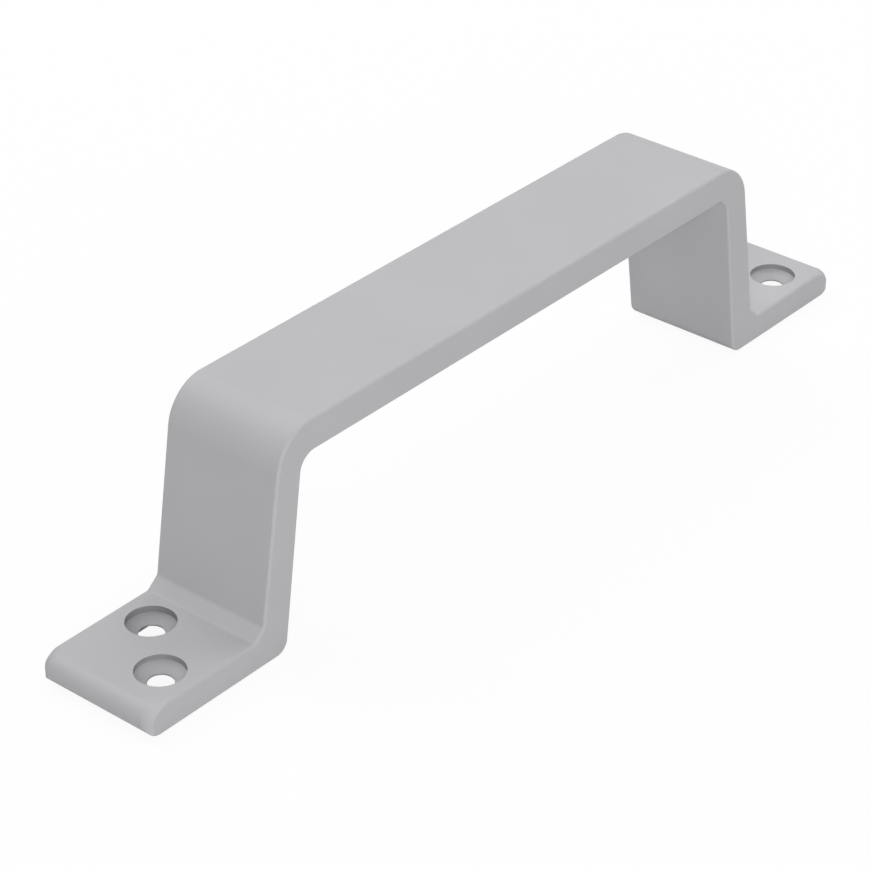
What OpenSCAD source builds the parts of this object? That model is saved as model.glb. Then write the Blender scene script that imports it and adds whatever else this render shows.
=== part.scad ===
// Furniture pull handle, cast in one piece and screwed on from the front.
// A flat grip bar turns down into two splayed legs, and each leg ends in a foot with two screw holes.
// The handle stands on its feet: X runs along the grip, Y across it and Z away from the mounting surface.
// The origin is midway between the feet, in the plane of their undersides. Sizes are in millimetres.

/* [Overall] */
// Length over the ends of both feet
length = 232.4; // [220:0.1:300]
// Width of the grip, the legs and the feet
width = 30; // [28:0.5:40]
// Height from the undersides of the feet to the top of the grip
height = 50.7; // [35:0.1:75]

/* [Grip] */
// Length of the grip's top, measured to its corners before they are rounded
grip_length = 153.5; // [110:0.1:165]
// Thickness of the grip
grip_thickness = 7.5; // [5:0.1:9]

/* [Legs] */
// Thickness of a leg where it meets the grip
leg_top_thickness = 6.8; // [5:0.1:8]
// Thickness of a leg where it meets the foot
leg_root_thickness = 7.7; // [5:0.1:9]
// Radius on the outside of the turn from grip to leg
shoulder_radius = 10.2; // [6:0.1:14]
// Radius on the inside of the turn from grip to leg
armpit_radius = 4.1; // [2.2:0.1:6]
// Reach along the leg and the foot of the slanted band that fills the corner between them
root_band = 2.4; // [1.5:0.1:5]
// Radius where the band runs into the leg and into the foot
root_radius = 1.2; // [0.6:0.1:2]
// Radius under a leg, where its inside meets the mounting surface
heel_radius = 3.3; // [2.2:0.1:5]

/* [Feet] */
// Length of a foot's top, from its end to the leg before the corner is filled
foot_length = 32.4; // [28:0.1:35]
// Thickness of a foot
foot_thickness = 6.6; // [5:0.1:9]
// Radius on the end of a foot, seen from the side
foot_end_radius = 3.2; // [2.2:0.1:4]
// Radius on the corners of a foot, seen from above
foot_corner_radius = 3.6; // [1:0.1:5]
// Distance from a foot's end at which the line of a corner meets the side
corner_setback = 1.2; // [0.5:0.1:3]
// Angle at which the line of a corner runs out into the side
corner_slant = 30; // [15:1:40]

/* [Edges] */
// Radius on the long edges of the whole handle
edge_radius = 0.7; // [0.3:0.05:1]

/* [Screw holes] */
// Diameter of the screw holes, which clears an M5 screw
bore_diameter = 5.5; // [4:0.1:6.5]
// Diameter of the recess for a screw head
recess_diameter = 10.7; // [8:0.1:12]
// Depth of the recess's straight wall, above the conical seat
recess_wall = 1.35; // [0.8:0.05:1.6]
// Full angle of the conical seat under a screw head
seat_angle = 120; // [100:1:140]
// Distance from a foot's end to its outer screw hole
outer_hole_inset = 11.9; // [9:0.1:13]
// Distance from a foot's end to its inner screw hole
inner_hole_inset = 22.6; // [19:0.1:24]
// Distance of each screw hole from the handle's centre line, outer to one side and inner to the other
hole_offset = 6.55; // [5:0.05:7]

/* [Hollow under the feet] */
// Thickness of the plate that the screw heads bear on
plate_thickness = 3.15; // [3:0.05:4.5]
// Width of the rim along the sides of a foot
side_rim = 2.6; // [1.5:0.1:4]
// Width of the rim across the end of a foot
end_rim = 3.8; // [3.2:0.1:6]
// Solid length left under a leg, from the hollow to the outside face of the leg
root_rim = 1; // [0:0.1:3]
// Radius in the corners of the hollow, seen from below
hollow_radius = 2; // [0.5:0.1:4]

/* [Hidden] */
$fn = 64;
// How far cutting shapes reach past the metal
clear = 1;
// How far each round runs into the flats beside it, so that they cross cleanly and don't only touch
overrun = 0.01;
// How far each section reaches past the width before the sides are trimmed: rounds that fill lie inside the
// flats there, and rounds that cut leave the flats whole
fill_overrun = 0.002;
flat_overrun = 0.005;
cut_overrun = 0.008;
// The skin carries the rounded edges, and the core fills it from inside
skin_depth = 2 * edge_radius + 0.6;
core_depth = edge_radius + 0.4;
// A convex corner is cut from this share of its radius outwards, by a wedge round a ring with a smaller bore
wedge_start = 0.5;
ring_bore = 0.2;
// Keeps each round of the foot's end within half of its thickness
foot_end_round = min(foot_end_radius, foot_thickness / 2 - 0.1);
// The round on top of a corner is the end's own, kept within the corner's radius seen from above
corner_round = min(foot_end_round, foot_corner_radius - 0.2);
// How far a corner's round runs into the foot's end and into the line beside it
corner_overrun = 0.03;

// Points of the side view before they are rounded
foot_top = [length / 2, foot_thickness];
foot_bottom = [length / 2, 0];
leg_root = [length / 2 - foot_length, foot_thickness];
shoulder = [grip_length / 2, height];
leg_inward = unit([leg_root[1] - shoulder[1], shoulder[0] - leg_root[0]]);
inner_root = leg_root + leg_root_thickness * leg_inward;
inner_top = shoulder + leg_top_thickness * leg_inward;
armpit = on_leg_inside(height - grip_thickness);
heel = on_leg_inside(0);
band_top = leg_root + root_band * unit(shoulder - leg_root);
band_foot = leg_root + [root_band, 0];

// Corners of the side view in counterclockwise order, each a point and its radius
upper = [
    [foot_top, foot_end_round],
    [band_foot, root_radius],
    [band_top, root_radius],
    [shoulder, shoulder_radius]
];
lower = [[armpit, armpit_radius], [heel, heel_radius], [foot_bottom, foot_end_round]];
corners = concat(upper, mirrored(upper), mirrored(lower), lower);
count = len(corners);

function unit(v) = v / norm(v);
function ray(angle) = [cos(angle), sin(angle)];

// Point on the inside face of the right-hand leg at a height
function on_leg_inside(z) =
    inner_root + (inner_top - inner_root) * (z - inner_root[1]) / (inner_top[1] - inner_root[1]);

// The same corners at the left-hand end, in the order that keeps the outline counterclockwise
function mirrored(half) =
    [for (i = [len(half) - 1 : -1 : 0]) [[-half[i][0][0], half[i][0][1]], half[i][1]]];

// A corner's point and radius, the side that follows it, and its turn, positive where the outline is convex
function point(i) = corners[(i + count) % count][0];
function radius(i) = corners[(i + count) % count][1];
function side(i) = point(i + 1) - point(i);
function heading(i) = atan2(side(i)[1], side(i)[0]);
function turn(i) = (heading(i) - heading(i - 1) + 540) % 360 - 180;
function convex(i) = turn(i) > 0;
function inward(i) = ray(heading(i) + 90);

// The centre of a corner's arc, and the directions from it to where the arc meets the two sides
function arc_start(i) = heading(i - 1) + (convex(i) ? -90 : 90);
function arc_end(i) = arc_start(i) + turn(i);
function arc_centre(i) =
    point(i) - radius(i) * (tan(abs(turn(i)) / 2) * ray(heading(i - 1)) + ray(arc_start(i)));

// Outline at the core's depth below the surface
function core_outline() = [
    for (i = [0 : count - 1])
        point(i) + core_depth * (inward(i - 1) + inward(i)) / (1 + inward(i - 1) * inward(i))
];

// Section of the metal under the surface, with X as the depth and Y across the handle
module skin_section(depth, side_overrun) {
    half = width / 2 + side_overrun;
    translate([edge_radius, -half]) square([depth - edge_radius, 2 * half]);
    translate([0, edge_radius - half]) square([depth, 2 * (half - edge_radius)]);
    for (side = [-1, 1]) translate([edge_radius, side * (half - edge_radius)]) circle(edge_radius);
}

// Metal under the side of the outline that follows a corner
module side_skin(i) {
    intersection() {
        translate([point(i)[0], point(i)[1], 0]) rotate([90, 0, 90 + heading(i)])
            linear_extrude(norm(side(i))) skin_section(skin_depth, flat_overrun);
        translate([-length, -length, -width / 2]) cube([2 * length, 2 * length, width]);
    }
}

// Metal that fills a concave corner
module fillet_skin(i) {
    centre = arc_centre(i);
    depth = norm(point(i) - centre) - radius(i) + skin_depth;
    intersection() {
        translate([centre[0], centre[1], 0]) rotate(arc_end(i)) rotate_extrude(angle = -turn(i))
            translate([radius(i) + overrun, 0]) skin_section(depth, fill_overrun);
        translate([-length, -length, -width / 2]) cube([2 * length, 2 * length, width]);
    }
}

// Metal to cut from a convex corner: a wedge that points to the arc's centre, less a ring with rounded edges
module corner_cut(i) {
    centre = arc_centre(i);
    ring = radius(i) + overrun;
    reach = radius(i) + clear;
    difference() {
        linear_extrude(width + 2 * clear, center = true) polygon([
            centre + wedge_start * radius(i) * ray(arc_start(i)),
            centre + reach * ray(arc_start(i)),
            centre + reach / radius(i) * (point(i) - centre),
            centre + reach * ray(arc_end(i)),
            centre + wedge_start * radius(i) * ray(arc_end(i))
        ]);
        translate([centre[0], centre[1], 0]) rotate_extrude() translate([ring, 0]) mirror([1, 0])
            skin_section((1 - ring_bore) * ring, cut_overrun);
    }
}

// The bent bar from the end of one foot to the end of the other, with all its long edges rounded
module bar() {
    rotate([90, 0, 0]) difference() {
        union() {
            linear_extrude(width, center = true) polygon(core_outline());
            for (i = [0 : count - 1]) side_skin(i);
            for (i = [0 : count - 1]) if (!convex(i)) fillet_skin(i);
        }
        for (i = [0 : count - 1]) if (convex(i)) corner_cut(i);
    }
}

// Cuts that round the two corners at the right-hand foot's end. Seen from above, each corner turns from the end
// onto a line that runs out slowly into the side, and the top edge is rounded along both.
module foot_corners() {
    turned = 90 - corner_slant;
    across = width / 2 - corner_setback * tan(corner_slant) - foot_corner_radius * tan(turned / 2);
    for (side = [0, 1]) mirror([0, side, 0]) translate([length / 2 - foot_corner_radius, across, 0]) {
        rotate_extrude(angle = turned) translate([foot_corner_radius + corner_overrun, 0]) corner_section();
        rotate(turned) translate([foot_corner_radius, foot_length / 2, 0]) rotate([90, 0, 0])
            linear_extrude(foot_length / 2 + foot_corner_radius + clear) corner_section();
    }
}

// Section of what is cut outside the line of a corner, with X outwards from the line and Y up
module corner_section() {
    centre = [-corner_round, foot_thickness - corner_round + overrun];
    difference() {
        translate([-corner_round, -clear])
            square([corner_round + corner_setback + clear, foot_thickness + 2 * clear]);
        translate(centre) circle(corner_round);
        translate([-2 * corner_round, -2 * clear]) square([2 * corner_round, centre[1] + 2 * clear]);
    }
}

// Hollow under the right-hand foot
module foot_hollow() {
    inner = length / 2 - foot_length + root_rim;
    outer = length / 2 - end_rim;
    half = width / 2 - side_rim;
    translate([0, 0, -clear]) linear_extrude(foot_thickness - plate_thickness + clear) {
        translate([inner + hollow_radius, -half]) square([outer - inner - 2 * hollow_radius, 2 * half]);
        translate([inner, hollow_radius - half]) square([outer - inner, 2 * (half - hollow_radius)]);
        for (x = [inner + hollow_radius, outer - hollow_radius], side = [-1, 1])
            translate([x, side * (half - hollow_radius)]) circle(hollow_radius);
    }
}

// Screw hole with a straight-walled recess and a conical seat, cut down from the top of a foot
module screw_hole() {
    bore = bore_diameter / 2;
    recess = recess_diameter / 2;
    seat_depth = (recess - bore) / tan(seat_angle / 2);
    translate([0, 0, foot_thickness]) rotate_extrude() polygon([
        [0, clear],
        [recess, clear],
        [recess, -recess_wall],
        [bore, -recess_wall - seat_depth],
        [bore, -foot_thickness - clear],
        [0, -foot_thickness - clear]
    ]);
}

// Screw holes of the right-hand foot: the outer one lies towards -Y and the inner one towards +Y
module screw_holes() {
    translate([length / 2 - outer_hole_inset, -hole_offset, 0]) screw_hole();
    translate([length / 2 - inner_hole_inset, hole_offset, 0]) screw_hole();
}

module handle() {
    color("#b9b9bc") difference() {
        bar();
        for (end = [0, 1]) mirror([end, 0, 0]) {
            foot_corners();
            foot_hollow();
            screw_holes();
        }
    }
}

handle();
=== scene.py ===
import math

import bpy
from mathutils import Matrix, Vector

# Camera, fitted to the outline and the rims of the screw holes
FOCAL_PX = 3079.2
IMAGE_PX = 870
SENSOR_MM = 36.0
AZIMUTH_DEG = -49.869
ELEVATION_DEG = 31.903
DISTANCE_M = 0.676306
SIDE_STEP_M = -0.008541
UP_STEP_M = 0.007194
CLIP_M = (0.01, 50.0)

# Powder coat: display colours, slow drift of the tone, fine grain of the gloss and the relief; the
# darker colour is painted shade for the screw recesses
COAT = (0.742, 0.737, 0.75)
RECESS_SHADE_COLOUR = (0.555, 0.55, 0.56)
COAT_IOR = 1.45
DRIFT_SCALE = 35.0
DRIFT_DETAIL = 2.0
DRIFT_RANGE = (0.35, 0.65)
DRIFT_TONES = (0.992, 1.008)
GRAIN_SCALE = 1800.0
GRAIN_DETAIL = 3.0
GRAIN_ROUGHNESS = (0.55, 0.66)
RELIEF_STRENGTH = 0.06
RELIEF_M = 0.00002

# Screw recesses, darkened with painted shade: each pair's centre, mirrored along the handle, and how
# far the painted shade darkens the coat at each height
RECESS_REACH_M = 0.0055
SEAT_LOW_M = 0.0037
FOOT_TOP_M = 0.0066
TOP_MARGIN_M = 0.000003
PAINTED_RECESS_SHADES = (
    ((0.1043, -0.00655, 0.0), ((0.0046, 0.0), (0.0052, 0.15), (0.0056, 0.8), (0.0066, 0.85))),
    ((0.0936, 0.00655, 0.0), ((0.0038, 0.06), (0.0051, 0.5), (0.00525, 1.0), (0.0066, 1.0))),
)

# Floor: its tone for the light, and the share of plain white in what the camera sees of it
FLOOR_HALF_M = 3.0
FLOOR_GAP_M = 0.0002
FLOOR_TONE = 0.6
FLOOR_ROUGHNESS = 0.9
WHITE_SHARE = 0.93

# Light: the world's level, and each square lamp's azimuth, elevation and power, all aimed at the handle
SKY_LEVEL = 0.1
LAMP_DISTANCE_M = 1.4
LAMP_SIZE_M = 1.0
LAMPS = {
    "near_fill": (-45.0, 20.0, 10.5),
    "side_fill": (0.0, 20.0, 2.6),
    "right_top": (90.0, 50.0, 6.6),
    "rear_top": (180.0, 50.0, 9.0),
    "overhead": (180.0, 90.0, 1.9),
}


def linear(channel):
    """A display value from 0 to 1 as the linear value that a shader takes."""
    return channel / 12.92 if channel <= 0.04045 else ((channel + 0.055) / 1.055) ** 2.4


def direction(azimuth, elevation):
    """The unit vector towards an azimuth from -Y, turning to +X, and an elevation."""
    azimuth = math.radians(azimuth)
    elevation = math.radians(elevation)
    level = math.cos(elevation)
    return Vector((math.sin(azimuth) * level, -math.cos(azimuth) * level, math.sin(elevation)))


def add_camera():
    """The photograph's camera, without shift."""
    back = direction(AZIMUTH_DEG, ELEVATION_DEG)
    right = (-back).cross(Vector((0, 0, 1))).normalized()
    up = right.cross(-back)
    data = bpy.data.cameras.new("camera")
    data.sensor_width = SENSOR_MM
    data.sensor_fit = "HORIZONTAL"
    data.lens = FOCAL_PX / IMAGE_PX * SENSOR_MM
    data.clip_start, data.clip_end = CLIP_M
    camera = bpy.data.objects.new("camera", data)
    bpy.context.scene.collection.objects.link(camera)
    turn = Matrix((right, up, back)).transposed()
    place = turn.to_4x4()
    place.translation = right * SIDE_STEP_M + up * UP_STEP_M + back * DISTANCE_M
    camera.matrix_world = place
    bpy.context.scene.camera = camera


def math_node(nodes, links, operation, first, second=None):
    """A math node on one or two sockets or numbers."""
    node = nodes.new("ShaderNodeMath")
    node.operation = operation
    for socket, value in zip(node.inputs, (first, second)):
        if isinstance(value, (int, float)):
            socket.default_value = value
        elif value is not None:
            links.new(value, socket)
    return node.outputs["Value"]


def recess_shade(nodes, links, level, height, centre, stops):
    """How much painted shade darkens the coat in the recess at one centre, and zero outside it."""
    reach = nodes.new("ShaderNodeVectorMath")
    reach.operation = "DISTANCE"
    links.new(level, reach.inputs[0])
    reach.inputs[1].default_value = centre
    inside = math_node(nodes, links, "LESS_THAN", reach.outputs["Value"], RECESS_REACH_M)
    fade = nodes.new("ShaderNodeValToRGB")
    elements = fade.color_ramp.elements
    places = [(z - SEAT_LOW_M) / (FOOT_TOP_M - SEAT_LOW_M) for z, shade in stops]
    for middle in places[1:-1]:
        elements.new(middle)
    for element, position, (z, shade) in zip(elements, places, stops):
        element.position = position
        element.color = (shade, shade, shade, 1.0)
    links.new(height, fade.inputs["Fac"])
    return math_node(nodes, links, "MULTIPLY", inside, fade.outputs["Color"])


def recess_painted_shade_mask(nodes, links, place):
    """How much painted shade darkens the coat in the four screw recesses: the walls most, fading out
    down the seats.
    """
    split = nodes.new("ShaderNodeSeparateXYZ")
    links.new(place, split.inputs["Vector"])
    level = nodes.new("ShaderNodeCombineXYZ")
    links.new(math_node(nodes, links, "ABSOLUTE", split.outputs["X"]), level.inputs["X"])
    links.new(split.outputs["Y"], level.inputs["Y"])
    height = nodes.new("ShaderNodeMapRange")
    height.inputs["From Min"].default_value = SEAT_LOW_M
    height.inputs["From Max"].default_value = FOOT_TOP_M
    links.new(split.outputs["Z"], height.inputs["Value"])
    shades = [
        recess_shade(nodes, links, level.outputs["Vector"], height.outputs["Result"], centre, stops)
        for centre, stops in PAINTED_RECESS_SHADES
    ]
    total = math_node(nodes, links, "ADD", *shades)
    below = math_node(nodes, links, "LESS_THAN", split.outputs["Z"], FOOT_TOP_M - TOP_MARGIN_M)
    return math_node(nodes, links, "MULTIPLY", total, below)


def coat_material():
    """A matt powder coat over the whole casting, with painted shade darkening the screw recesses."""
    material = bpy.data.materials.new("powder_coat")
    material.use_nodes = True
    nodes = material.node_tree.nodes
    links = material.node_tree.links
    shader = nodes["Principled BSDF"]
    shader.inputs["Metallic"].default_value = 0.0
    shader.inputs["IOR"].default_value = COAT_IOR

    place = nodes.new("ShaderNodeTexCoord")

    # Slow drift of the tone over the casting, and painted shade in the recesses
    drift = nodes.new("ShaderNodeTexNoise")
    drift.inputs["Scale"].default_value = DRIFT_SCALE
    drift.inputs["Detail"].default_value = DRIFT_DETAIL
    links.new(place.outputs["Object"], drift.inputs["Vector"])
    tone = nodes.new("ShaderNodeValToRGB")
    for element, position, factor in zip(tone.color_ramp.elements, DRIFT_RANGE, DRIFT_TONES):
        element.position = position
        element.color = (*[linear(c * factor) for c in COAT], 1.0)
    links.new(drift.outputs["Fac"], tone.inputs["Fac"])
    blend = nodes.new("ShaderNodeMix")
    blend.data_type = "RGBA"
    recess = recess_painted_shade_mask(nodes, links, place.outputs["Object"])
    links.new(recess, blend.inputs["Factor"])
    links.new(tone.outputs["Color"], blend.inputs["A"])
    # Painted shade: this darker grey stands in for the shade that falls in the screw recesses
    blend.inputs["B"].default_value = (*[linear(c) for c in RECESS_SHADE_COLOUR], 1.0)
    links.new(blend.outputs["Result"], shader.inputs["Base Color"])

    # Fine grain, in the gloss and the relief
    grain = nodes.new("ShaderNodeTexNoise")
    grain.inputs["Scale"].default_value = GRAIN_SCALE
    grain.inputs["Detail"].default_value = GRAIN_DETAIL
    links.new(place.outputs["Object"], grain.inputs["Vector"])
    gloss = nodes.new("ShaderNodeMapRange")
    gloss.inputs["To Min"].default_value = GRAIN_ROUGHNESS[0]
    gloss.inputs["To Max"].default_value = GRAIN_ROUGHNESS[1]
    links.new(grain.outputs["Fac"], gloss.inputs["Value"])
    links.new(gloss.outputs["Result"], shader.inputs["Roughness"])
    relief = nodes.new("ShaderNodeBump")
    relief.inputs["Strength"].default_value = RELIEF_STRENGTH
    relief.inputs["Distance"].default_value = RELIEF_M
    links.new(grain.outputs["Fac"], relief.inputs["Height"])
    links.new(relief.outputs["Normal"], shader.inputs["Normal"])
    return material


def add_floor():
    """A pale floor that the camera sees as white, with the object's shadow left to it."""
    mesh = bpy.data.meshes.new("floor")
    half = FLOOR_HALF_M
    corners = [(-half, -half, 0), (half, -half, 0), (half, half, 0), (-half, half, 0)]
    mesh.from_pydata(corners, [], [(0, 1, 2, 3)])
    floor = bpy.data.objects.new("floor", mesh)
    floor.location = (0, 0, -FLOOR_GAP_M)
    bpy.context.scene.collection.objects.link(floor)
    material = bpy.data.materials.new("floor")
    material.use_nodes = True
    nodes = material.node_tree.nodes
    links = material.node_tree.links
    shader = nodes["Principled BSDF"]
    shader.inputs["Roughness"].default_value = FLOOR_ROUGHNESS
    seen = seen_rays(nodes, links)
    tone = nodes.new("ShaderNodeMapRange")
    tone.inputs["To Min"].default_value = FLOOR_TONE
    tone.inputs["To Max"].default_value = 1.0
    links.new(seen, tone.inputs["Value"])
    links.new(tone.outputs["Result"], shader.inputs["Base Color"])
    white = nodes.new("ShaderNodeEmission")
    white.inputs["Strength"].default_value = 1.0
    share = nodes.new("ShaderNodeMath")
    share.operation = "MULTIPLY"
    share.inputs[1].default_value = WHITE_SHARE
    links.new(seen, share.inputs[0])
    blend = nodes.new("ShaderNodeMixShader")
    links.new(share.outputs["Value"], blend.inputs["Fac"])
    links.new(shader.outputs["BSDF"], blend.inputs[1])
    links.new(white.outputs["Emission"], blend.inputs[2])
    links.new(blend.outputs["Shader"], nodes["Material Output"].inputs["Surface"])
    mesh.materials.append(material)


def seen_rays(nodes, links):
    """One for the rays that see the background, directly or in a gloss or through glass."""
    path = nodes.new("ShaderNodeLightPath")
    total = path.outputs["Is Camera Ray"]
    for name in ("Is Glossy Ray", "Is Transmission Ray"):
        either = nodes.new("ShaderNodeMath")
        either.operation = "MAXIMUM"
        links.new(total, either.inputs[0])
        links.new(path.outputs[name], either.inputs[1])
        total = either.outputs["Value"]
    return total


def add_lamp(name, azimuth, elevation, watts):
    """A square lamp that looks at the middle of the handle's footprint."""
    data = bpy.data.lights.new(name, "AREA")
    data.shape = "SQUARE"
    data.size = LAMP_SIZE_M
    data.energy = watts
    lamp = bpy.data.objects.new(name, data)
    away = direction(azimuth, elevation)
    lamp.location = away * LAMP_DISTANCE_M
    lamp.rotation_mode = "QUATERNION"
    lamp.rotation_quaternion = (-away).to_track_quat("-Z", "Y")
    bpy.context.scene.collection.objects.link(lamp)


def add_world():
    """Even light from all round, with a white backdrop for what the camera sees past the floor."""
    world = bpy.data.worlds.new("studio")
    world.use_nodes = True
    nodes = world.node_tree.nodes
    links = world.node_tree.links
    light = nodes["Background"]
    light.inputs["Color"].default_value = (1, 1, 1, 1)
    light.inputs["Strength"].default_value = SKY_LEVEL
    white = nodes.new("ShaderNodeBackground")
    white.inputs["Color"].default_value = (1, 1, 1, 1)
    white.inputs["Strength"].default_value = 1.0
    blend = nodes.new("ShaderNodeMixShader")
    links.new(seen_rays(nodes, links), blend.inputs["Fac"])
    links.new(light.outputs["Background"], blend.inputs[1])
    links.new(white.outputs["Background"], blend.inputs[2])
    links.new(blend.outputs["Shader"], nodes["World Output"].inputs["Surface"])
    bpy.context.scene.world = world


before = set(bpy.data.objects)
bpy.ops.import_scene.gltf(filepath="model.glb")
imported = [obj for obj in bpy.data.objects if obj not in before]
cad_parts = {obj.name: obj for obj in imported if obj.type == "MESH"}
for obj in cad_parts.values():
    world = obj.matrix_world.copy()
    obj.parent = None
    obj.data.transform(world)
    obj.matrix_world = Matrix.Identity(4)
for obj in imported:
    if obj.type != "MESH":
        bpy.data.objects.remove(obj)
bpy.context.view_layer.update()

add_camera()
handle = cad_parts["handle"]
coat = coat_material()
for slot in handle.material_slots:
    slot.material = coat
add_floor()
add_world()
for name, lamp in LAMPS.items():
    add_lamp(name, *lamp)

bpy.context.scene.view_settings.view_transform = "Standard"
